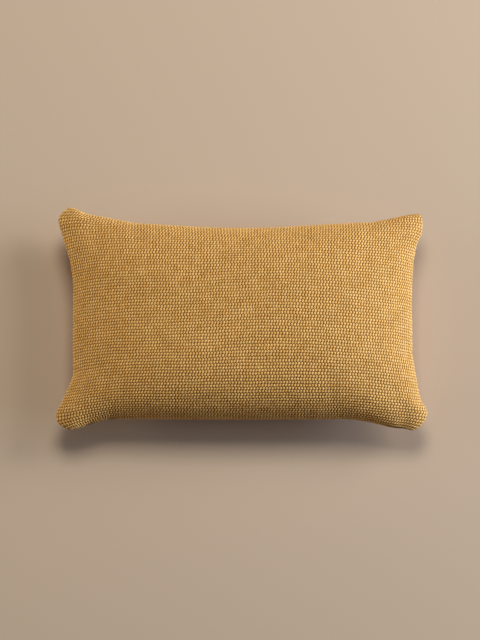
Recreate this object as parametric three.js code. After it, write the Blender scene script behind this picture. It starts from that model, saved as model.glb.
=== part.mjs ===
// A filled outdoor cushion of nubby woven cloth, lying on its back.
// Two equal panels are sewn face to face round all four sides and turned out, so a plain seam
// runs round the middle like a knife edge. The filling rounds both panels, which draws the
// sides in between the corners and leaves each corner standing out as a soft ear.
// Millimetres, +X along the long side, +Z up, origin in the middle of the face it rests on.
import * as THREE from "three";

// Driving dimensions
const cushionLength = 500; // over the ears, along X
const cushionWidth = 300; // over the ears, along Y
const seamHeight = 54; // seam above the surface, at the middle of a side
const crownRise = 58; // middle of the front panel above the seam
const backDrop = 64; // how far the back panel would sink below the seam if nothing held it flat
const nubbyCloth = { color: 0xb2864a, roughness: 0.95, metalness: 0 };

// How full the panels stand: a small fade is a long slope, a large hold a steep edge
const lengthwise = { hold: 3.0, fade: 0.6 };
const crosswise = { hold: 2.9, fade: 0.58 };

// Each side's seam at its middle stretch: how far it lies from the centre line, and how much
// further its own middle is drawn in (negative where it bulges)
const sides = {
  left: { out: 224, drawnIn: 1.5 },
  right: { out: 232, drawnIn: 0.5 },
  top: { out: 126, drawnIn: 4 },
  bottom: { out: 133, drawnIn: -2 },
};

// The ears. Along a top or bottom side the seam swings out by flareY over the last runY of the
// side, and along a left or right side by flareX over the last runX. bend is how sharply it
// swings. round is the radius of the sewn corner, and droop is how far the tip sinks.
const ears = [
  { x: -1, y: 1, flareX: 28, runX: 112, bendX: 1.7, flareY: 29, runY: 110, bendY: 1.3, round: 34, droop: 2 },
  { x: 1, y: 1, flareX: 26, runX: 86, bendX: 1.9, flareY: 15, runY: 140, bendY: 1.6, round: 22, droop: 5 },
  { x: 1, y: -1, flareX: 28, runX: 104, bendX: 1.5, flareY: 21, runY: 112, bendY: 1.25, round: 28, droop: 8 },
  { x: -1, y: -1, flareX: 37, runX: 86, bendX: 1.5, flareY: 27, runY: 90, bendY: 1.6, round: 34, droop: 6 },
];

// Soft troughs where the cloth gives, each from one point to another, seen from above
const troughs = [
  { fromX: -226, fromY: 128, toX: -150, toY: 74, deep: 4.0, wide: 17 },
  { fromX: 224, fromY: 122, toX: 156, toY: 72, deep: 2.6, wide: 15 },
  { fromX: 226, fromY: -128, toX: 150, toY: -78, deep: 3.0, wide: 15 },
  { fromX: -228, fromY: -126, toX: -146, toY: -70, deep: 4.0, wide: 17 },
  { fromX: -146, fromY: 122, toX: -132, toY: 84, deep: 2.0, wide: 10 },
  { fromX: 128, fromY: -132, toX: 116, toY: -96, deep: 2.4, wide: 10 },
];
const troughEnds = 2.2; // how abruptly a trough fades out at its two ends
const backTroughs = 0.6; // depth of the same troughs on the back, as a share

// The filling settles unevenly, in slow waves of about a millimetre
const lumps = [
  { rise: 1.2, lengthX: 380, lengthY: 295, startX: 0.13, startY: -0.06 },
  { rise: 0.7, lengthX: 210, lengthY: 245, startX: 0.55, startY: 0.2 },
];
const seamStiffness = 3; // troughs and lumps reach full depth where the swell passes a third

// How quickly an effect dies away with distance, as powers of the distance's share
const drawFade = 3; // of a side's drawn-in middle, towards its ears
const pullFade = 4; // of an ear's pull, towards the other side of the panel
const tipFade = 8; // of an ear's droop, towards the middle of the panel

// Grid of each panel, finer towards the seam
const stepsAlong = 58;
const stepsAcross = 38;
const crowding = 0.6; // 0 is an even grid, 1 gathers it fully at the edges

const halfLength = cushionLength / 2;
const halfWidth = cushionWidth / 2;

// A side's own middle stretch is at full draw, and its ends at none
const sideDraw = (along) => (1 - along * along) ** drawFade;

// How far an ear pulls the seam out, at a distance from the end of the side
const swing = (flare, run, bend, distance) => flare * Math.max(0, 1 - distance / run) ** bend;

// From 0 at the far side of the panel to 1 at an ear's own side
const nearness = (ear, along) => (1 + ear * along) / 2;

// Full at the tip of an ear, and gone within a hand's breadth of it
const tipShare = (ear, a, b) => (nearness(ear.x, a) * nearness(ear.y, b)) ** tipFade;

// Rounds the square corner of the panel: inside the last stretch of both directions a square
// patch becomes a quarter of a disc
function roundCorner(a, b) {
  const ear = ears.find((e) => e.x === (a < 0 ? -1 : 1) && e.y === (b < 0 ? -1 : 1));
  const shareX = ear.round / halfLength;
  const shareY = ear.round / halfWidth;
  const p = (Math.abs(a) - 1 + shareX) / shareX;
  const q = (Math.abs(b) - 1 + shareY) / shareY;
  if (p <= 0 || q <= 0) return { a, b };
  return {
    a: Math.sign(a) * (1 - shareX + shareX * p * Math.sqrt(1 - (q * q) / 2)),
    b: Math.sign(b) * (1 - shareY + shareY * q * Math.sqrt(1 - (p * p) / 2)),
  };
}

// Where a point of the panel lies seen from above. a runs from -1 at the left seam to 1 at the
// right one, and b from -1 at the bottom seam to 1 at the top one.
function plan(panelA, panelB) {
  const { a, b } = roundCorner(panelA, panelB);
  const right = sides.right.out - sides.right.drawnIn * sideDraw(b);
  const left = sides.left.out - sides.left.drawnIn * sideDraw(b);
  const top = sides.top.out - sides.top.drawnIn * sideDraw(a);
  const bottom = sides.bottom.out - sides.bottom.drawnIn * sideDraw(a);
  let x = (right * (1 + a) - left * (1 - a)) / 2;
  let y = (top * (1 + b) - bottom * (1 - b)) / 2;
  for (const ear of ears) {
    const fromEndX = (1 - ear.y * b) * halfWidth;
    const fromEndY = (1 - ear.x * a) * halfLength;
    const pullX = swing(ear.flareX, ear.runX, ear.bendX, fromEndX);
    const pullY = swing(ear.flareY, ear.runY, ear.bendY, fromEndY);
    x += ear.x * pullX * nearness(ear.x, a) ** pullFade;
    y += ear.y * pullY * nearness(ear.y, b) ** pullFade;
  }
  return { x, y };
}

// Height of the seam's own level, which sinks a little towards each ear
function seamLevel(a, b) {
  return ears.reduce((level, ear) => level - ear.droop * tipShare(ear, a, b), seamHeight);
}

// Share of the full swell, from 0 at the seam to 1 in the middle of the panel
const swell = (a, b) =>
  Math.max(0, 1 - Math.abs(a) ** lengthwise.hold) ** lengthwise.fade *
  Math.max(0, 1 - Math.abs(b) ** crosswise.hold) ** crosswise.fade;

// Depth of the soft troughs at a point, each fading out at both of its ends
function troughDepth(x, y) {
  let depth = 0;
  for (const t of troughs) {
    const runX = t.toX - t.fromX;
    const runY = t.toY - t.fromY;
    const length = Math.hypot(runX, runY);
    const along = ((x - t.fromX) * runX + (y - t.fromY) * runY) / length ** 2;
    const aside = ((x - t.fromX) * runY - (y - t.fromY) * runX) / length;
    const ends = Math.exp(-((troughEnds * (along - 0.5)) ** 4));
    depth += t.deep * ends * Math.exp(-((aside / t.wide) ** 2));
  }
  return depth;
}

// Height of the slow waves of the filling at a point
const turn = (share) => 2 * Math.PI * share;
const lumpHeight = (x, y) =>
  lumps.reduce((height, lump) => {
    const wave = Math.sin(turn(x / lump.lengthX + lump.startX));
    return height + lump.rise * wave * Math.cos(turn(y / lump.lengthY + lump.startY));
  }, 0);

// The seam holds the cloth smooth, so troughs and lumps fade in away from it
const softness = (full) => Math.min(1, seamStiffness * full);

function frontPoint(a, b) {
  const { x, y } = plan(a, b);
  const full = swell(a, b);
  const rise = crownRise * full + softness(full) * (lumpHeight(x, y) * full - troughDepth(x, y));
  return [x, y, seamLevel(a, b) + Math.max(0, rise)];
}

// The back panel sinks as the front one rises, until it meets the surface and lies flat
function backPoint(a, b) {
  const { x, y } = plan(a, b);
  const full = swell(a, b);
  const drop = backDrop * full - backTroughs * softness(full) * troughDepth(x, y);
  return [x, y, Math.max(0, seamLevel(a, b) - Math.max(0, drop))];
}

// Grid value from -1 to 1, crowded towards both ends
function gridValue(step, steps) {
  const even = (2 * step) / steps - 1;
  return (1 - crowding) * even + crowding * Math.sin((Math.PI / 2) * even);
}

// One closed surface: a front and a back grid that share the points of the seam
function sewnCushion() {
  const points = [];
  const front = [];
  const back = [];
  for (let i = 0; i <= stepsAlong; i++) {
    const a = gridValue(i, stepsAlong);
    front.push([]);
    back.push([]);
    for (let j = 0; j <= stepsAcross; j++) {
      const b = gridValue(j, stepsAcross);
      const onSeam = i === 0 || i === stepsAlong || j === 0 || j === stepsAcross;
      front[i].push(points.push(frontPoint(a, b)) - 1);
      back[i].push(onSeam ? front[i][j] : points.push(backPoint(a, b)) - 1);
    }
  }
  const triangles = [];
  for (let i = 0; i < stepsAlong; i++) {
    for (let j = 0; j < stepsAcross; j++) {
      // The diagonal of each cell points at the nearest corner, so no corner cell is folded flat
      const rising = (i < stepsAlong / 2) === (j < stepsAcross / 2);
      addCell(triangles, front, i, j, rising, false);
      addCell(triangles, back, i, j, rising, true);
    }
  }
  const geometry = new THREE.BufferGeometry();
  geometry.setAttribute("position", new THREE.Float32BufferAttribute(points.flat(), 3));
  geometry.setIndex(triangles);
  return geometry;
}

// Two triangles of one grid cell, facing up or down
function addCell(triangles, grid, i, j, rising, facingDown) {
  const near = grid[i][j];
  const right = grid[i + 1][j];
  const far = grid[i + 1][j + 1];
  const left = grid[i][j + 1];
  const pair = rising
    ? [[near, right, far], [near, far, left]]
    : [[near, right, left], [right, far, left]];
  for (const [first, second, third] of pair) {
    triangles.push(...(facingDown ? [first, third, second] : [first, second, third]));
  }
}

// Brings the shape to its overall size and stands it on the origin
function fitToSize(geometry) {
  geometry.computeBoundingBox();
  const { min, max } = geometry.boundingBox;
  geometry.translate(-(min.x + max.x) / 2, -(min.y + max.y) / 2, 0);
  geometry.scale(cushionLength / (max.x - min.x), cushionWidth / (max.y - min.y), 1);
  geometry.computeVertexNormals();
  return geometry;
}

const cushion = new THREE.Mesh(fitToSize(sewnCushion()), new THREE.MeshStandardMaterial(nubbyCloth));
cushion.name = "cushion";

const group = new THREE.Group();
group.add(cushion);

export default group;
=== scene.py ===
# %% [markdown]
# # A filled outdoor cushion in nubby cloth
# The cushion is two equal panels of coarse woven cloth, sewn face to face all round, turned
# right side out and filled. It was built first as one plain solid, and that solid is loaded
# here as the frame: it says where the cushion lies and how much room it takes. Everything
# below is in metres, with Z up and the floor at zero.

# %% Load the frame
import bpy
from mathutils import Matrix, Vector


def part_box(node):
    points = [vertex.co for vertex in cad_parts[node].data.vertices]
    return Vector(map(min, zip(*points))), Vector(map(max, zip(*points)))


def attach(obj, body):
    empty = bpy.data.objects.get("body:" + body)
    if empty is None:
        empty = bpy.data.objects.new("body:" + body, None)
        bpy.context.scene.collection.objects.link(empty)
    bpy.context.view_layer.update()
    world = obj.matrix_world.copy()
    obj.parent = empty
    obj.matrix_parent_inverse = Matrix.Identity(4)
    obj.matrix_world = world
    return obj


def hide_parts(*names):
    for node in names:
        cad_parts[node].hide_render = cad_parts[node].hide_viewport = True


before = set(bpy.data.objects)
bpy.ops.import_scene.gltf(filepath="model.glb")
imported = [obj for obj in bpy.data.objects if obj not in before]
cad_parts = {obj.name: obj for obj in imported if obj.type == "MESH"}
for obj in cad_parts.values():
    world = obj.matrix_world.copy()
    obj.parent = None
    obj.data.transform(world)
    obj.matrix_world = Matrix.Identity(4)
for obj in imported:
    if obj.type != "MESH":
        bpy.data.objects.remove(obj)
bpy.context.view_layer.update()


def mm(metres):
    """The same length in millimetres, for printing"""
    return round(1000 * float(metres), 1)


# %% [markdown]
# ## Camera
# The photograph looks at the cushion's face from far enough away that there is hardly any
# perspective. Its angle can be read from the cloth: the rows of the weave arch upwards across
# the middle, and lie closest together along the top. So the camera isn't straight above, but
# leans a few degrees towards the lower side. A camera in Blender looks along its own -Z, so one
# that isn't turned at all looks down, and this one only needs a small turn about X. Its lens
# follows from how much the picture covers.

# %% Place the camera
import math

import bpy

camera_away = 3.0  # from what it looks at
camera_lean = 12  # degrees off straight above, towards the lower side
seam_height = 0.054  # above the floor, and the outline lies at this height
view_length = 0.8607  # covered by the long side of the picture, at the seam
view_centre = (-0.0015, -0.0040)  # what the camera looks at, along X and Y
sensor_length = 36  # in millimetres, as Blender counts it


def place_camera():
    data = bpy.data.cameras.new("view_from_above")
    data.sensor_width = sensor_length
    data.lens = sensor_length * camera_away / view_length
    camera = bpy.data.objects.new("view_from_above", data)
    turned = math.radians(camera_lean)
    back, up = camera_away * math.sin(turned), camera_away * math.cos(turned)
    camera.location = (view_centre[0], view_centre[1] - back, seam_height + up)
    camera.rotation_euler.x = turned
    bpy.context.collection.objects.link(camera)
    bpy.context.scene.camera = camera
    return camera


camera = place_camera()
bpy.context.scene.view_settings.view_transform = "Standard"
print("lens, mm:", round(camera.data.lens, 1))

# %% [markdown]
# ## The outline of the seam
# Filling draws the middle of each side in, because cloth that has to bulge upwards can't reach
# as far sideways. The corners can't bulge, so they stay out as ears. The outline could be drawn
# as one long list of points, but a maker thinks of it as four sides and four ears, so these are
# the two tables here. Beside its tip an ear is a little fuller or slimmer than a smooth sweep,
# because the seam's turned-in edges bunch up inside it.

# %% The four sides
import numpy as np

low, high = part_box("cushion")
length, width, thickness = high - low
half_length = length / 2
half_width = width / 2

# how far each side's seam lies from the centre line, and how much its own middle is drawn in
sides = {
    "left": dict(out=0.2238, drawn_in=-0.0028),
    "right": dict(out=0.2318, drawn_in=-0.0014),
    "top": dict(out=0.1257, drawn_in=0.0094),
    "bottom": dict(out=0.1327, drawn_in=-0.0008),
}
print("over the ears, mm:", mm(length), "by", mm(width))

# %% The four ears
# flare is how far the seam swings out, run over what stretch, and bend how sharply. blunt is how
# far from the corner it levels off, and fuller how far it bulges beside the tip. turn is the
# radius of the sewn corner, and droop how far it sinks.
ears = [
    dict(x=-1, y=1, turn=0.0334, droop=0.002,
         flare_x=0.0493, run_x=0.1476, bend_x=3.0, blunt_x=0.0094, fuller_x=-0.0035,
         flare_y=0.0219, run_y=0.1114, bend_y=1.15, blunt_y=0.0283, fuller_y=0.0068),
    dict(x=1, y=1, turn=0.0133, droop=0.005,
         flare_x=0.0221, run_x=0.150, bend_x=2.50, blunt_x=0.0021, fuller_x=0.0047,
         flare_y=0.0146, run_y=0.0701, bend_y=1.15, blunt_y=0.0, fuller_y=0.0004),
    dict(x=1, y=-1, turn=0.0333, droop=0.008,
         flare_x=0.0200, run_x=0.1038, bend_x=1.15, blunt_x=0.0003, fuller_x=0.0072,
         flare_y=0.0305, run_y=0.1150, bend_y=1.85, blunt_y=0.0120, fuller_y=-0.0042),
    dict(x=-1, y=-1, turn=0.0514, droop=0.006,
         flare_x=0.0511, run_x=0.0809, bend_x=1.15, blunt_x=0.0229, fuller_x=0.0053,
         flare_y=0.0394, run_y=0.0841, bend_y=1.94, blunt_y=0.0037, fuller_y=0.0025),
]
fuller_at, fuller_over = 0.027, 0.013  # how far from the end of the side, and half how long


def swing(ear, way, distance):
    """How far an ear pulls the seam out along X or Y, at a distance from the end of the side"""
    reach = np.hypot(distance, ear["blunt_" + way]) / ear["run_" + way]
    bulge = ear["fuller_" + way] * np.exp(-(((distance - fuller_at) / fuller_over) ** 2))
    return ear["flare_" + way] * np.maximum(0, 1 - reach) ** ear["bend_" + way] + bulge


print("each ear pulls its short side out by, mm:", [mm(swing(ear, "x", 0)) for ear in ears])

# %% Where a point of the panel lies, seen from above
pull_fade = 4  # how fast an ear's pull dies away across the panel
draw_fade = 3  # how fast a side's drawn-in middle gives way towards its ears


def nearness(side, along):
    """From 0 at the far side of the panel to 1 at an ear's own side"""
    return (1 + side * along) / 2


def side_lines(low_side, high_side, share, other_share):
    """A straight run between two opposite sides, each a little drawn in at its middle"""
    drawn = (1 - other_share**2) ** draw_fade
    high_line = sides[high_side]["out"] - sides[high_side]["drawn_in"] * drawn
    low_line = sides[low_side]["out"] - sides[low_side]["drawn_in"] * drawn
    return (high_line * (1 + share) - low_line * (1 - share)) / 2


def seen_from_above(a, b):
    """a runs from -1 at the left seam to 1 at the right, and b from -1 at the bottom to 1"""
    x = side_lines("left", "right", a, b)
    y = side_lines("bottom", "top", b, a)
    for ear in ears:
        pull_x = swing(ear, "x", (1 - ear["y"] * b) * half_width)
        pull_y = swing(ear, "y", (1 - ear["x"] * a) * half_length)
        x = x + ear["x"] * pull_x * nearness(ear["x"], a) ** pull_fade
        y = y + ear["y"] * pull_y * nearness(ear["y"], b) ** pull_fade
    return x, y


print("the right seam's middle lies at, mm:", [mm(x) for x in seen_from_above(1, 0)])

# %% [markdown]
# ## From flat cloth to a grid
# Each panel is woven square, so its threads run straight from seam to seam. To keep them that
# way, every panel here is a grid whose lines follow the threads. Near a corner the outer rows
# are cut shorter, as scissors do when the corner is rounded. A subdivided box could be puffed up
# instead, but its faces wouldn't follow the threads, and the weave of this cloth is far too
# coarse to hide that.

# %% A grid of threads, with rounded corners
cut_from = 0.5  # share of the half panel beyond which rows give way to a rounded corner
spare_along, spare_across = 0.09, 0.17  # a first guess: threads lie closer on the steep sides


def thread_grid(columns, rows):
    """Shares from -1 to 1 for every crossing, along and across the panel"""
    a, b = np.meshgrid(np.linspace(-1, 1, columns + 1), np.linspace(-1, 1, rows + 1), indexing="ij")
    return a, b


def spread(share, spare):
    return share * (1 + spare * (1 - share**2))


def round_corners(a, b):
    """Draws in the ends of the outer rows, each along a quarter of a circle"""
    for ear in ears:
        turn_x, turn_y = ear["turn"] / half_length, ear["turn"] / half_width
        beyond = np.clip((ear["y"] * b - 1 + turn_y) / turn_y, 0, 1)
        near = np.clip((ear["x"] * a - cut_from) / (1 - cut_from), 0, 1) ** 2
        a = a - ear["x"] * turn_x * (1 - np.sqrt(1 - beyond**2)) * near
    return a


top_row = [round(float(round_corners(end, 1.0)), 3) for end in (-1.0, 1.0)]
print("the top row is cut to run from share", top_row[0], "to", top_row[1])

# %% Fit the outline to the solid
seam_shorter, seam_wider = 0.0025, 0.0053  # than the solid, as the photo shows
cover_length, cover_width = length - seam_shorter, width + seam_wider
rim_steps = 400


def rim_of_panel(steps):
    run, one = np.linspace(-1, 1, steps + 1), np.ones(steps + 1)
    a, b = np.concatenate([run, run, -one, one]), np.concatenate([-one, one, run, run])
    return seen_from_above(round_corners(a, b), b)


rim_x, rim_y = rim_of_panel(rim_steps)
rim_middle_x, rim_middle_y = (rim_x.max() + rim_x.min()) / 2, (rim_y.max() + rim_y.min()) / 2
fit_x, fit_y = cover_length / np.ptp(rim_x), cover_width / np.ptp(rim_y)


def fitted_plan(a, b):
    x, y = seen_from_above(round_corners(a, b), b)
    return (x - rim_middle_x) * fit_x, (y - rim_middle_y) * fit_y


print("the outline is scaled by", round(fit_x, 3), "and", round(fit_y, 3))

# %% [markdown]
# ## The crown
# A filled panel is nearly flat in its middle and falls off ever more steeply towards the seam.
# That shape, the crown, could be sculpted by hand, but then nobody could say how high or how
# round it is. Here it is a formula with a few values: how far the flat middle holds, and how
# round the edge is. A few soft folds run in from the ears and the seam, where the cloth gives, and
# the filling lies in slow waves. The back sinks below the seam in the same way, until it lies on
# the floor.

# %% The crown
crown_rise = thickness - seam_height  # of the front panel's middle above the seam
back_drop = 0.064  # how far the back would sink below the seam if the floor didn't hold it
hold_along, fade_along = 3.0, 0.6  # a large hold is a flat middle, a small fade a rounded edge
hold_across, fade_across = 2.9, 0.58


def swell(a, b):
    """From 0 at the seam to 1 in the middle of the panel"""
    along = np.maximum(0, 1 - np.abs(a) ** hold_along) ** fade_along
    return along * np.maximum(0, 1 - np.abs(b) ** hold_across) ** fade_across


print("half way to a short side the crown still stands at a share of", round(swell(0.5, 0.0), 2))

# %% Soft folds and slow waves
troughs = [  # soft folds where the cloth gives, from one point to another
    dict(start=(-0.226, 0.128), end=(-0.150, 0.074), deep=0.0040, wide=0.017),
    dict(start=(0.224, 0.122), end=(0.156, 0.072), deep=0.0026, wide=0.015),
    dict(start=(0.226, -0.128), end=(0.150, -0.078), deep=0.0030, wide=0.015),
    dict(start=(-0.228, -0.126), end=(-0.146, -0.070), deep=0.0040, wide=0.017),
    dict(start=(-0.146, 0.122), end=(-0.132, 0.084), deep=0.0020, wide=0.010),
    dict(start=(0.128, -0.132), end=(0.116, -0.096), deep=0.0010, wide=0.012),
]
trough_ends = 2.2  # how abruptly a trough fades out at its two ends
trough_flatness = 4  # how evenly deep it stays between them
lumps = [  # slow waves of the filling
    dict(rise=0.0012, length_x=0.380, length_y=0.295, start_x=0.13, start_y=-0.06),
    dict(rise=0.0007, length_x=0.210, length_y=0.245, start_x=0.55, start_y=0.2),
]


def trough_depth(x, y):
    depth = 0
    for fold in troughs:
        (x0, y0), (x1, y1) = fold["start"], fold["end"]
        run = np.hypot(x1 - x0, y1 - y0)
        along = ((x - x0) * (x1 - x0) + (y - y0) * (y1 - y0)) / run**2
        aside = ((x - x0) * (y1 - y0) - (y - y0) * (x1 - x0)) / run
        ends = (trough_ends * (along - 0.5)) ** trough_flatness
        depth = depth + fold["deep"] * np.exp(-ends - (aside / fold["wide"]) ** 2)
    return depth


def lump_height(x, y):
    height = 0
    for lump in lumps:
        wave_x = np.sin(2 * np.pi * (x / lump["length_x"] + lump["start_x"]))
        wave_y = np.cos(2 * np.pi * (y / lump["length_y"] + lump["start_y"]))
        height = height + lump["rise"] * wave_x * wave_y
    return height


print("in the middle the filling's waves lift the cloth by", mm(lump_height(0.0, 0.0)), "mm")

# %% Stuff the cover
back_troughs = 0.6  # depth of the same troughs on the back, as a share
seam_stiffness = 3  # troughs and lumps reach full depth where the swell passes a third
droop_fade = 8  # how fast an ear's droop dies away towards the middle of the panel


def seam_level(a, b):
    level = seam_height
    for ear in ears:
        level = level - ear["droop"] * (nearness(ear["x"], a) * nearness(ear["y"], b)) ** droop_fade
    return level


def stuffed(a, b):
    """The front and the back panel's points, for shares along and across"""
    x, y = fitted_plan(a, b)
    full = swell(a, b)
    soft = np.minimum(1, seam_stiffness * full)
    level = seam_level(round_corners(a, b), b)
    folds = soft * trough_depth(x, y)
    rise = crown_rise * full + soft * full * lump_height(x, y) - folds
    drop = back_drop * full - back_troughs * folds
    front = np.stack([x, y, level + np.maximum(0, rise)], axis=-1)
    back = np.stack([x, y, np.maximum(0, level - np.maximum(0, drop))], axis=-1)
    return front, back


print("height of the front's middle, mm:", mm(stuffed(0.0, 0.0)[0][2]))

# %% [markdown]
# ## Let the threads slide
# A formula spreads the threads as it likes, but cloth hardly stretches. In the photograph the
# rows of nubs bow near each ear and meet the seam square. To get that, every crossing of
# threads is moved over the stuffed shape in many small steps, towards the place where the
# threads to its neighbours are as long as they were cut. Crossings on the seam slide along it.
# It starts on a coarse grid, where hundreds of rounds are quick, and ends on the panel's own
# fine one. Blender's Cloth could do this too, but it would change the cushion's shape as well.

# %% How long the threads were cut
panel_length, panel_width = 0.492, 0.309  # inside the seam, through the middle of the panel
eased_along, eased_across = 0.018, 0.010  # how much more cloth is eased in beside the seams
lookup_steps = 1000  # of the curve by which a spread share is turned back into an even one


def flat_cut(grid_a, grid_b):
    """Where each crossing lies on the flat panel, before it is filled"""
    b = spread(grid_b, spare_across)
    cut_a = round_corners(spread(grid_a, spare_along), b)
    even = np.linspace(-1, 1, lookup_steps + 1)
    a = np.interp(cut_a, spread(even, spare_along), even)
    x = a * (panel_length + eased_along * grid_b**2) / 2
    return np.stack([x, grid_b * (panel_width + eased_across * grid_a**2) / 2], axis=-1)


def between_crossings(points):
    """The steps along, across and both ways over the diagonal"""
    along = points[1:] - points[:-1]
    across = points[:, 1:] - points[:, :-1]
    return along, across, points[1:, 1:] - points[:-1, :-1], points[1:, :-1] - points[:-1, 1:]


def thread_lengths(points):
    return [np.linalg.norm(step, axis=-1) for step in between_crossings(points)]


print("rows are cut", mm(panel_length), "mm long in the middle of the panel, and",
      mm(panel_length + eased_along), "mm at the long seams, less the corners")

# %% Read a coarse grid at any finer one
def cubic_weights(new_count, old_count):
    """How much of each old value goes into each new one, on a smooth curve through the old"""
    place = np.linspace(0, old_count, new_count + 1)
    cell = np.minimum(place.astype(int), old_count - 1)
    t = place - cell
    shares = [(-t + 2 * t**2 - t**3) / 2, (2 - 5 * t**2 + 3 * t**3) / 2,
              (t + 4 * t**2 - 3 * t**3) / 2, (t**3 - t**2) / 2]
    weights = np.zeros((new_count + 1, old_count + 1))
    for offset, share in zip((-1, 0, 1, 2), shares):
        np.add.at(weights, (np.arange(new_count + 1), np.clip(cell + offset, 0, old_count)), share)
    return weights


def finer(values, columns, rows):
    """A smooth curve through the values in each direction"""
    along = np.tensordot(cubic_weights(columns, values.shape[0] - 1), values, 1)
    return np.einsum("ib...,jb->ij...", along, cubic_weights(rows, values.shape[1] - 1))


print("half way between two values each of the four nearest counts", cubic_weights(6, 3)[3])

# %% How the threads pull at a crossing
diagonal_share = 0.35  # how strongly a cell stays square, against how strongly it keeps its size
nonzero = 1e-12  # the least length that anything is divided by


def pull_of_threads(points, cut):
    """Which way and how far the threads round each crossing would pull it"""
    pull = np.zeros_like(points)
    ends = [(np.s_[:-1], np.s_[1:]), (np.s_[:, :-1], np.s_[:, 1:]),
            (np.s_[:-1, :-1], np.s_[1:, 1:]), (np.s_[:-1, 1:], np.s_[1:, :-1])]
    weights = (1, 1, diagonal_share, diagonal_share)
    for step, long, (near, far), weight in zip(between_crossings(points), cut, ends, weights):
        now = np.linalg.norm(step, axis=-1)
        tug = weight * ((now - long) / np.maximum(now, nonzero))[..., None] * step
        pull[near] += tug
        pull[far] -= tug
    return pull


# %% Slide every crossing a little
slide_share = 0.16  # of what a crossing still has to go, at each round
most_along, most_across = 0.004, 0.006  # that a share may change in one round
nearest_seam = 0.9999  # share at which the crossings beside the seam are stopped
tiny = 1e-4  # a change of share that is small enough to measure a slope by
hold_still = 1e-4  # keeps a crossing from jumping where its shares hardly move it


def slopes(a, b):
    """How the surface runs for a small change of each share"""
    less, more = np.clip(a - tiny, -1, 1), np.clip(a + tiny, -1, 1)
    by_a = (stuffed(more, b)[0] - stuffed(less, b)[0]) / (more - less)[..., None]
    less, more = np.clip(b - tiny, -1, 1), np.clip(b + tiny, -1, 1)
    by_b = (stuffed(a, more)[0] - stuffed(a, less)[0]) / (more - less)[..., None]
    by_a[[0, -1]] = 0
    by_b[:, [0, -1]] = 0
    return by_a, by_b


def slide_once(a, b, cut):
    """Turns each pull into changes of the two shares, which keeps the crossing on the surface"""
    pull = slide_share * pull_of_threads(stuffed(a, b)[0], cut)
    by_a, by_b = slopes(a, b)
    size_a, size_b = (by_a**2).sum(-1) + hold_still, (by_b**2).sum(-1) + hold_still
    pull_a, pull_b = (by_a * pull).sum(-1), (by_b * pull).sum(-1)
    askew = (by_a * by_b).sum(-1)
    even = size_a * size_b - askew**2
    a = a + np.clip((size_b * pull_a - askew * pull_b) / even, -most_along, most_along)
    b = b + np.clip((size_a * pull_b - askew * pull_a) / even, -most_across, most_across)
    a[1:-1] = np.clip(a[1:-1], -nearest_seam, nearest_seam)
    b[:, 1:-1] = np.clip(b[:, 1:-1], -nearest_seam, nearest_seam)
    a[0], a[-1], b[:, 0], b[:, -1] = -1, 1, -1, 1
    return a, b


# %% Slide them from a coarse grid to the finest
slide_levels = [  # the last has one crossing for each point of a panel
    dict(columns=60, rows=38, rounds=420),
    dict(columns=125, rows=78, rounds=80),
    dict(columns=375, rows=234, rounds=24),
]


def slide_on(moved, columns, rows, rounds):
    """Slides one grid on from where a coarser one ended, all as changes of the two shares"""
    grid_a, grid_b = thread_grid(columns, rows)
    cut = thread_lengths(flat_cut(grid_a, grid_b))
    start = np.stack([spread(grid_a, spare_along), spread(grid_b, spare_across)], axis=-1)
    a, b = np.moveaxis(start + finer(moved, columns, rows), -1, 0)
    for _ in range(rounds):
        a, b = slide_once(a, b, cut)
    now = thread_lengths(stuffed(a, b)[0])
    off = [float(np.abs(long / wanted - 1).max()) for long, wanted in zip(now[:2], cut)]
    print(columns, "by", rows, "threads are off by a share of at most", np.round(off, 2))
    return np.stack([a, b], axis=-1) - start


slid = np.zeros((2, 2, 2))
for level in slide_levels:
    slid = slide_on(slid, **level)

# %% [markdown]
# ## Lay the threads on the cushion
# Coarse cloth is easily pulled askew while it is sewn and filled, so its rows seldom run dead
# straight. In the photograph they arch up a little more across the middle than the camera's angle
# explains. The whole panel could be turned or bent for that, but its outline is right as it is.
# So the rows are only moved within it, most in the middle of the panel and not at all at the
# two long seams.

# %% Arch the rows
row_bow = 0.045  # how far the rows arch up, as a share of half the width
bow_middle, bow_half = 0.13, 0.45  # where the arch is highest, and half how wide it is
bow_lowered = 0.5  # share of the arch by which the rows are let down again


def laid_threads(columns, rows):
    """Shares of every crossing of a grid, once the threads have slid and the rows are bowed"""
    grid_a, grid_b = thread_grid(columns, rows)
    moved = finer(slid, columns, rows)
    a = np.clip(spread(grid_a, spare_along) + moved[..., 0], -1, 1)
    b = np.clip(spread(grid_b, spare_across) + moved[..., 1], -1, 1)
    arch = row_bow * (np.exp(-(((a - bow_middle) / bow_half) ** 2)) - bow_lowered)
    return a, b + arch * (1 - b**2)


print("the middle row arches by about", mm(row_bow * half_width), "mm from its ends to its top")

# %% [markdown]
# ## Fill the cover with Blender's Cloth
# Two panels of the stuffed shape are sewn into one cover, and its cloth is pressed outwards
# from inside while the seam is held. The cloth then settles: the troughs soften and the slopes
# beside the seam fill out, which no formula does as evenly. Pressure alone would blow the
# cushion up like a balloon, rounder on top than a filled one, so no point may go far from where
# the filling holds it. This cloth doesn't crease.

# %% Sew two panels into a cover
cover_columns, cover_rows = 84, 52


def sewn(columns, rows):
    """Numbers for the points of two panels that share those on the seam"""
    front = np.arange((columns + 1) * (rows + 1)).reshape(columns + 1, rows + 1)
    back = front.copy()
    inside = np.arange((columns - 1) * (rows - 1)).reshape(columns - 1, rows - 1)
    back[1:-1, 1:-1] = front.size + inside
    return front, back


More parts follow.
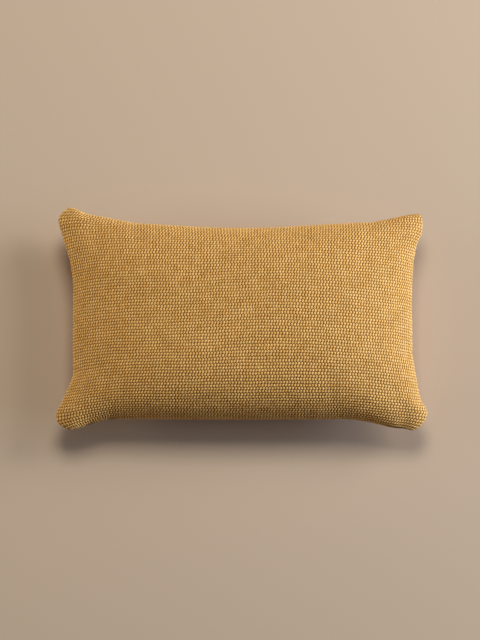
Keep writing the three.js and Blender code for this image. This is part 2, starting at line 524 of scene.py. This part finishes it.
def cells(grid, facing_down=False):
    """The four points round each cell of a grid, in an order that faces up or down"""
    corners = [grid[:-1, :-1], grid[1:, :-1], grid[1:, 1:], grid[:-1, 1:]]
    if facing_down:
        corners.reverse()
    return np.stack(corners, axis=-1).reshape(-1, 4)


def cover_to_fill(front_points, back_points):
    front, back = sewn(cover_columns, cover_rows)
    points = np.concatenate([front_points.reshape(-1, 3), back_points[1:-1, 1:-1].reshape(-1, 3)])
    faces = np.concatenate([cells(front), cells(back, facing_down=True)])
    mesh = bpy.data.meshes.new("cover_to_fill")
    mesh.from_pydata(points.tolist(), [], faces.tolist())
    cover = bpy.data.objects.new("cover_to_fill", mesh)
    bpy.context.collection.objects.link(cover)
    on_seam = np.ones(front.shape, bool)
    on_seam[1:-1, 1:-1] = False
    cover.vertex_groups.new(name="seam").add(front[on_seam].tolist(), 1.0, "REPLACE")
    return cover, front, back


print("the cover to fill has", sewn(cover_columns, cover_rows)[1].max() + 1, "points")

# %% Press it outwards with the seam held
settling_frames = 24
cloth_values = dict(
    quality=8,  # steps in a frame
    mass=0.1,  # of each point, in kilograms
    tension_stiffness=40,
    compression_stiffness=40,
    shear_stiffness=10,
    bending_stiffness=3,
    tension_damping=5,
    compression_damping=5,
    shear_damping=5,
    air_damping=2,
    vertex_group_mass="seam",  # these points are held
    use_pressure=True,
    uniform_pressure_force=4.0,
)


def add_cloth(cover):
    cloth = cover.modifiers.new("filling", "CLOTH")
    for name, value in cloth_values.items():
        setattr(cloth.settings, name, value)
    cloth.settings.effector_weights.gravity = 0
    cloth.collision_settings.use_collision = False
    cloth.collision_settings.use_self_collision = False
    cloth.point_cache.frame_end = settling_frames


def settle(cover):
    for frame_number in range(1, settling_frames + 1):
        bpy.context.scene.frame_set(frame_number)
    evaluated = cover.evaluated_get(bpy.context.evaluated_depsgraph_get())
    points = np.empty(3 * len(cover.data.vertices))
    evaluated.data.vertices.foreach_get("co", points)
    bpy.data.objects.remove(cover)
    bpy.context.scene.frame_set(1)
    return points.reshape(-1, 3)


# %% Keep it near its filling
furthest = 0.004  # that a point may go from where the filling holds it


def held_back(move):
    """The same move, but never further than the filling lets it go"""
    reach = np.linalg.norm(move, axis=-1, keepdims=True)
    return move * furthest * np.tanh(reach / furthest) / np.maximum(reach, nonzero)


def fill_cover():
    """How far the points of the front and of the back move as the cloth settles"""
    before = stuffed(*laid_threads(cover_columns, cover_rows))
    cover, front, back = cover_to_fill(*before)
    add_cloth(cover)
    points = settle(cover)
    moves = [held_back(points[panel] - start) for panel, start in zip((front, back), before)]
    for name, move in zip(("front", "back"), moves):
        print(name, "panel settles by up to", mm(np.linalg.norm(move, axis=-1).max()), "mm")
    return moves


settled = fill_cover()

# %% [markdown]
# ## The nubs
# A thick, uneven yarn stands up between the threads that hold it, so each place where it comes
# to the surface is a small bead, a nub. There are about 125 in a row and 78 rows, and every
# other row starts a little later. A bump map could fake them, but their shadows and the bumpy
# edge of the cushion would be missing. So each panel has three points for every nub in each
# direction, and these are raised from the surface in the cloth's own pattern. The rows wander a
# little, because no yarn is quite even.

# %% Where the nubs lie
nubs_along, nubs_across = 125, 78
points_a_nub = 3
stagger = 0.3  # how much later every other row starts, in nubs
nub_lean = 0.17  # how much a nub leans over, to the right at its top
wanders = [  # slow drifts of the threads, all in nubs
    dict(along=0.16, across=0.06, waves=(0.017, 0.043), start=0.10),
    dict(along=0.09, across=0.05, waves=(-0.043, 0.031), start=0.35),
    dict(along=0.05, across=0.03, waves=(0.107, -0.047), start=0.80),
    dict(along=0.03, across=0.02, waves=(0.061, 0.23), start=0.55),
]


def weave_places():
    """How many nubs along and across the panel each of its points lies"""
    columns = np.arange(points_a_nub * nubs_along + 1) / points_a_nub
    rows = np.arange(points_a_nub * nubs_across + 1) / points_a_nub
    return np.meshgrid(columns, rows, indexing="ij")


def wandered(columns, rows):
    """The same places, counted by threads that drift"""
    along, across = columns.copy(), rows.copy()
    for drift in wanders:
        wave_along, wave_across = drift["waves"]
        phase = 2 * np.pi * (wave_along * columns + wave_across * rows + drift["start"])
        along += drift["along"] * np.sin(phase)
        across += drift["across"] * np.cos(phase)
    return along, across


print("nubs lie", mm(panel_length / nubs_along), "mm apart along a row, and rows",
      mm(panel_width / nubs_across), "mm")

# %% Raise the nubs of a panel
nub_rise = 0.0016
ground = 0.4  # share of the rise at which the cloth's own surface lies
smallest_nub, largest_nub = 0.8, 1.1  # as shares of the rise
spare_nubs = 2  # beyond each edge of the panel, because the threads drift
yarn = np.random.default_rng(seed=7)
nub_grid = (nubs_along + 2 * spare_nubs, nubs_across + 2 * spare_nubs)
nub_sizes = yarn.uniform(smallest_nub, largest_nub, nub_grid)


def nub_heights(along, across):
    """Soft beads, which three points a nub are enough to carry"""
    row = np.floor(across).astype(int)
    up = across - row - 0.5
    shifted = along - stagger * (row % 2) + 0.5
    column = np.floor(shifted).astype(int)
    aside = shifted - column - 0.5 - nub_lean * up
    bead = (1 + np.cos(2 * np.pi * aside)) * (1 + np.cos(2 * np.pi * up)) / 4
    return bead * nub_sizes[column + spare_nubs, row + spare_nubs]


print("the largest nub stands", mm(nub_rise * nub_sizes.max()), "mm above its gaps")

# %% [markdown]
# ## The seam
# The edges of both panels are turned in and sewn together, and from outside only a thin groove
# is left. It could be a bevel, or a crease in the mesh, but it is narrower than one nub. So each
# point is moved by how far it lies from the seam: right beside it the stitches draw the cloth in,
# and a little further off the filled cloth bulges over them. The stitches also gather the
# cloth unevenly, in puckers of three different lengths. The nubs are pressed flat in the groove.

# %% Draw the seam in
seam_calm = 0.0012  # distance from the seam within which the nubs flatten
seam_sink = 0.0013  # how deep the stitching holds the seam between the two panels
seam_roll = 0.0018  # how far from the seam the cloth has rolled out again
lip_swell, lip_reach = 0.0006, 0.010  # beside the seam the filled cloth bulges over it
pucker_pitches = (0.0083, 0.0131, 0.0217)  # the stitches gather the cloth unevenly
pucker_share = 0.12
pucker_start = 40  # starts each of these waves at another point of its turn


def seam_distances(columns, rows):
    """From the left or right seam, and from the top or bottom seam, along the cloth"""
    from_ends = np.minimum(columns, nubs_along - columns) * panel_length / nubs_along
    from_sides = np.minimum(rows, nubs_across - rows) * panel_width / nubs_across
    return from_ends, from_sides


def puckers(along):
    turns = [2 * np.pi * along / pitch + pucker_start * pitch for pitch in pucker_pitches]
    return 1 + pucker_share * sum(np.sin(turn) for turn in turns)


def drawn_in(distance, along):
    sink = seam_sink * np.exp(-((distance / seam_roll) ** 2)) * puckers(along)
    return sink - lip_swell * np.exp(-((distance / lip_reach) ** 2))


def draw_in_seam(points, columns, rows):
    from_ends, from_sides = seam_distances(columns, rows)
    half_columns, half_rows = columns - nubs_along / 2, rows - nubs_across / 2
    in_x = drawn_in(from_ends, half_rows * panel_width / nubs_across)
    in_y = drawn_in(from_sides, half_columns * panel_length / nubs_along)
    points[..., 0] -= np.sign(half_columns) * in_x
    points[..., 1] -= np.sign(half_rows) * in_y
    return points


print("halfway along a side the seam is drawn in by", mm(drawn_in(0.0, 0.0)), "mm")

# %% The points of a panel
def outward(points, facing):
    """Unit directions away from the filling"""
    along, across = np.gradient(points, axis=0), np.gradient(points, axis=1)
    normal = facing * np.cross(along, across)
    return normal / np.maximum(np.linalg.norm(normal, axis=-1, keepdims=True), nonzero)


def panel_points(which, facing):
    """Where the points of the front or the back lie, with the nubs raised and the seam drawn in"""
    columns, rows = weave_places()
    steps = columns.shape[0] - 1, columns.shape[1] - 1
    surface = stuffed(*laid_threads(*steps))[which] + finer(settled[which], *steps)
    normals = outward(surface, facing)
    from_ends, from_sides = seam_distances(columns, rows)
    calm = 1 - np.exp(-((np.minimum(from_ends, from_sides) / seam_calm) ** 2))
    raised = nub_rise * calm * (nub_heights(*wandered(columns, rows)) - ground)
    points = draw_in_seam(surface, columns, rows) + raised[..., None] * normals
    points[..., 2] = np.maximum(points[..., 2], 0)
    return points, columns, rows


# %% Make the two panels
map_margin = 0.01  # left free round the flat map of the cloth


def make_panel(name, which, facing):
    """A mesh that also knows where each of its points lies in the weave"""
    points, columns, rows = panel_points(which, facing)
    numbers = np.arange(columns.size).reshape(columns.shape)
    faces = cells(numbers, facing_down=facing < 0)
    mesh = bpy.data.meshes.new(name)
    mesh.from_pydata(points.reshape(-1, 3).tolist(), [], faces.tolist())
    mesh.shade_smooth()
    weave = np.stack([*wandered(columns, rows), 0 * rows], axis=-1).reshape(-1, 3)
    mesh.attributes.new("weave", "FLOAT_VECTOR", "POINT").data.foreach_set("vector", weave.ravel())
    flat_map = mesh.uv_layers.new(name="OFBake")
    shares = np.stack([columns / nubs_along, rows / nubs_across], axis=-1).reshape(-1, 2)
    places = map_margin + (1 - 2 * map_margin) * shares[faces.ravel()]
    flat_map.data.foreach_set("uv", places.ravel())
    panel = bpy.data.objects.new(name, mesh)
    bpy.context.collection.objects.link(panel)
    print(name, "has", 2 * len(faces), "triangles")
    return panel


front_panel = make_panel("front_panel", 0, 1)
back_panel = make_panel("back_panel", 1, -1)

# %% [markdown]
# ## The cloth's colours
# The nubs are pale gold, and brown thread shows between them. That brown is darker than the
# thread itself, as painted shade in the gaps. Seen from a step away the two mix into mustard. No
# two nubs are quite alike, so some are paler, and faint clouds of tone, a few nubs wide, lie over
# the whole panel. Each ply is painted a little less pale at its foot, as painted shade where the
# plies meet. The colours are worked out from the same nub pattern that raised the points, so that
# every bead is pale on top and holds painted shade at its foot. Painting them in an image would fix
# their number of pixels, while this stays sharp from any distance. The yarn itself is dull, with
# a faint sheen.

# %% Small helpers for shader nodes
def node(tree, kind, *sources, **settings):
    """A node whose first inputs come from other nodes or are plain values"""
    made = tree.nodes.new(kind)
    for name, value in settings.items():
        setattr(made, name, value)
    for socket, source in zip(made.inputs, sources):
        if isinstance(source, bpy.types.NodeSocket):
            tree.links.new(source, socket)
        elif source is not None:
            socket.default_value = source
    return made


def calculate(tree, operation, *sources):
    return node(tree, "ShaderNodeMath", *sources, operation=operation).outputs[0]


def blended(tree, share, first, second, mode="MIX"):
    """One colour blended into another, where share may be a number or a socket"""
    mix = tree.nodes.new("ShaderNodeMix")
    mix.data_type, mix.blend_type = "RGBA", mode
    for name, source in (("Factor_Float", share), ("A_Color", first), ("B_Color", second)):
        socket = next(s for s in mix.inputs if s.identifier == name)
        if isinstance(source, bpy.types.NodeSocket):
            tree.links.new(source, socket)
        else:
            socket.default_value = source
    return next(s for s in mix.outputs if s.identifier == "Result_Color")


def stepped(tree, value, low_value, high_value, low_result=0.0, high_result=1.0):
    """A soft step from one result to the other"""
    sources = (value, low_value, high_value, low_result, high_result)
    made = node(tree, "ShaderNodeMapRange", *sources, interpolation_type="SMOOTHSTEP")
    return made.outputs[0]


def set_inputs(made, values):
    """Plain values for a node's own named inputs"""
    for name, value in values.items():
        made.inputs[name].default_value = value


# %% Find the nub at each place of the cloth
seen_half_width, seen_half_height = 0.45, 0.55  # a nub's own outline, in nubs


def nub_pattern(tree):
    """Where each place lies on its nub, the nub's height there, and the nub's own numbers"""
    weave = node(tree, "ShaderNodeAttribute", attribute_name="weave").outputs["Vector"]
    split = node(tree, "ShaderNodeSeparateXYZ", weave)
    along, across = split.outputs[0], split.outputs[1]
    row = calculate(tree, "FLOOR", across)
    odd = calculate(tree, "FLOORED_MODULO", row, 2.0)
    shifted = calculate(tree, "ADD", calculate(tree, "MULTIPLY_ADD", odd, -stagger, along), 0.5)
    column = calculate(tree, "FLOOR", shifted)
    up = calculate(tree, "SUBTRACT", calculate(tree, "SUBTRACT", across, row), 0.5)
    aside = calculate(tree, "SUBTRACT", calculate(tree, "SUBTRACT", shifted, column), 0.5)
    leaned = calculate(tree, "MULTIPLY_ADD", up, -nub_lean, aside)
    wide = calculate(tree, "DIVIDE", leaned, seen_half_width)
    high = calculate(tree, "DIVIDE", up, seen_half_height)
    from_top = calculate(tree, "MULTIPLY_ADD", wide, wide, calculate(tree, "MULTIPLY", high, high))
    above = calculate(tree, "MAXIMUM", calculate(tree, "SUBTRACT", 1.0, from_top), 0.0)
    dome = calculate(tree, "SQRT", above)
    number = node(tree, "ShaderNodeCombineXYZ", column, row, 0.0).outputs[0]
    return leaned, up, dome, number, weave


# %% Wind the yarn
ply_along, ply_across = 9.0, 13.0  # how fast the plies turn along and across a nub, in radians
any_turn = 6.3  # about one whole turn, so that each nub shows its plies at another point


def twist(tree, leaned, up, number):
    """The yarn's plies, which wind across the nub, each at a turn of its own"""
    turn = node(tree, "ShaderNodeTexWhiteNoise", number, noise_dimensions="3D").outputs["Value"]
    slant_across = calculate(tree, "MULTIPLY", up, ply_across)
    slant = calculate(tree, "MULTIPLY_ADD", leaned, ply_along, slant_across)
    wave = calculate(tree, "SINE", calculate(tree, "MULTIPLY_ADD", turn, any_turn, slant))
    return calculate(tree, "MULTIPLY_ADD", wave, 0.5, 0.5)


# %% The cloth's colour
# the brown thread between the nubs, painted darker than the thread itself as painted shade in the
# gaps
brown_thread_and_gap_shade = (0.245, 0.081, 0.004, 1)
gold_yarn = (0.745, 0.360, 0.068, 1)
pale_yarn = (0.880, 0.510, 0.155, 1)
thread_ends, yarn_begins = 0.1, 0.8  # the brown thread with its painted shade gives way to yarn between these heights on a nub
pale_spread = (-0.4, 1.1)  # goes past 0 and 1, so that no nub is all gold or all pale
ply_crest, between_plies = 0.6, 0.5  # where a ply is palest, and how pale its foot still is, as painted shade where the plies meet
cloud_scale, cloud_detail = 0.23, 3.0  # a cloud is about four nubs wide
cloud_spread, cloud_tones = (0.3, 0.7), (0.95, 1.05)


def cloth_colour(tree, dome, plies, number, weave):
    each = node(tree, "ShaderNodeTexWhiteNoise", number, noise_dimensions="2D").outputs["Value"]
    # each ply is painted less pale at its foot, as painted shade where the plies meet
    ply_painted_shade = stepped(tree, plies, 0.0, ply_crest, between_plies)
    pale = calculate(tree, "MULTIPLY", stepped(tree, each, *pale_spread), ply_painted_shade)
    yarn_colour = blended(tree, pale, gold_yarn, pale_yarn)
    # low on each nub the colour is the brown thread with painted shade, and high up it is the yarn
    yarn_out_of_gap_shade = stepped(tree, dome, thread_ends, yarn_begins)
    cloth = blended(tree, yarn_out_of_gap_shade, brown_thread_and_gap_shade, yarn_colour)
    clouds = node(tree, "ShaderNodeTexNoise", weave, None, cloud_scale, cloud_detail).outputs[0]
    tone = stepped(tree, clouds, *cloud_spread, *cloud_tones)
    grey = node(tree, "ShaderNodeCombineColor", tone, tone, tone).outputs[0]
    return blended(tree, 1.0, cloth, grey, "MULTIPLY")


# %% The cloth's relief and gloss
fibre_scale, fibre_detail = 7.0, 3.0  # about seven fibres across a nub
ply_relief, fibre_relief = 0.3, 0.3  # as shares of a nub's height
bump_height = 0.0007
thread_roughness, yarn_roughness, fibre_roughness = 0.9, 0.7, 0.1
yarn_gloss = {
    "Sheen Weight": 0.15,
    "Sheen Roughness": 0.3,
    "Sheen Tint": (1.0, 0.96, 0.80, 1),
    "Specular IOR Level": 0.25,
}


def cloth_bump(tree, dome, plies, fibres):
    ply_height = calculate(tree, "MULTIPLY", plies, dome)
    wound = calculate(tree, "MULTIPLY_ADD", ply_height, ply_relief, dome)
    height = calculate(tree, "MULTIPLY_ADD", fibres, fibre_relief, wound)
    bump = node(tree, "ShaderNodeBump")
    set_inputs(bump, {"Strength": 1.0, "Distance": bump_height})
    tree.links.new(height, bump.inputs["Height"])
    return bump.outputs[0]


def cloth_roughness(tree, dome, fibres):
    dull = stepped(tree, dome, thread_ends, yarn_begins, thread_roughness, yarn_roughness)
    return calculate(tree, "MULTIPLY_ADD", fibres, fibre_roughness, dull)


# %% The nubby cloth
def cloth_material():
    material = bpy.data.materials.new("nubby_cloth")
    material.use_nodes = True
    tree = material.node_tree
    shader = tree.nodes["Principled BSDF"]
    leaned, up, dome, number, weave = nub_pattern(tree)
    plies = twist(tree, leaned, up, number)
    fibres = node(tree, "ShaderNodeTexNoise", weave, None, fibre_scale, fibre_detail).outputs[0]
    colour = cloth_colour(tree, dome, plies, number, weave)
    tree.links.new(colour, shader.inputs["Base Color"])
    tree.links.new(cloth_roughness(tree, dome, fibres), shader.inputs["Roughness"])
    tree.links.new(cloth_bump(tree, dome, plies, fibres), shader.inputs["Normal"])
    set_inputs(shader, yarn_gloss)
    return material


nubby_cloth = cloth_material()
for panel in (front_panel, back_panel):
    panel.data.materials.append(nubby_cloth)
print("the cloth has", len(nubby_cloth.node_tree.nodes), "shader nodes")

# %% [markdown]
# ## Say what the pieces are
# Both panels ride on the only body of the frame and stand for the plain solid, which is then
# hidden.

# %% Tie the panels to the frame
for panel in (front_panel, back_panel):
    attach(panel, "root")
    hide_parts("cushion")
    print(panel.name, "rides on root and stands for the solid")

# %% [markdown]
# ## The floor
# The cushion lies on a pale, matt floor in a warm grey. One large square is enough, because its
# edges are far outside the view. It lies a hair below the cushion, since two surfaces at
# exactly the same height would show through each other in patches.

# %% Floor
floor_colour = (0.545, 0.386, 0.245, 1)
floor_reach, floor_level = 20, -0.0004


def add_floor():
    mesh = bpy.data.meshes.new("floor")
    square = ((-1, -1), (1, -1), (1, 1), (-1, 1))
    corners = [(x * floor_reach, y * floor_reach, floor_level) for x, y in square]
    mesh.from_pydata(corners, [], [(0, 1, 2, 3)])
    floor = bpy.data.objects.new("floor", mesh)
    bpy.context.collection.objects.link(floor)
    material = bpy.data.materials.new("pale_floor")
    material.use_nodes = True
    matt = {"Base Color": floor_colour, "Roughness": 0.9, "Specular IOR Level": 0.2}
    set_inputs(material.node_tree.nodes["Principled BSDF"], matt)
    mesh.materials.append(material)
    return floor


floor = add_floor()
print(floor.name, "is", 2 * floor_reach, "m wide and lies", mm(-floor_level), "mm below zero")

# %% [markdown]
# ## The light
# The cushion's top and right sides are bright and its lower and left sides dim, and the shadows
# are soft. One lamp could give the shadows but not these slopes of brightness, so there are four
# large ones, and each explains one thing: a high one beyond the top, one beyond the upper right
# corner, a low one on the right that makes that side much brighter than the middle, and a weaker
# low one on the left. The brightest side is also the palest, so the light from the right is
# cooler. Lamps that stand close would light one end of the cushion more than the other, so these
# stand back and are large.

# %% Light
from mathutils import Vector

lamps = [  # turned is the direction from +X towards +Y, and strength is in watts a square metre
    dict(name="high_light", turned=90, up=62, strength=1.70, colour=(0.98, 1.02, 1.08)),
    dict(name="corner_light", turned=28, up=31, strength=1.5, colour=(0.96, 1.03, 1.15)),
    dict(name="low_right_light", turned=0, up=10, strength=3.0, colour=(0.86, 1.13, 1.70)),
    dict(name="low_left_light", turned=180, up=11, strength=1.2, colour=(1, 1, 1)),
]
lamps_away, lamp_size = 3.2, 1.25
sky_colour, sky_strength = (1.0, 0.97, 0.93, 1), 0.04


def softbox(name, turned, up, strength, colour):
    """A large square lamp that faces the cushion, and lights its middle with the given strength"""
    data = bpy.data.lights.new(name, "AREA")
    data.shape, data.size, data.color = "SQUARE", lamp_size, colour
    data.energy = strength * np.pi * lamps_away**2
    lamp = bpy.data.objects.new(name, data)
    turned, up = np.radians(turned), np.radians(up)
    direction = np.array([np.cos(up) * np.cos(turned), np.cos(up) * np.sin(turned), np.sin(up)])
    lamp.location = lamps_away * direction + (0, 0, seam_height)
    lamp.rotation_euler = Vector(direction).to_track_quat("Z", "Y").to_euler()
    bpy.context.collection.objects.link(lamp)
    print(name, "gives", round(data.energy), "watts")


for lamp in lamps:
    softbox(**lamp)
sky = bpy.data.worlds.new("studio")
sky.use_nodes = True
set_inputs(sky.node_tree.nodes["Background"], {"Color": sky_colour, "Strength": sky_strength})
bpy.context.scene.world = sky
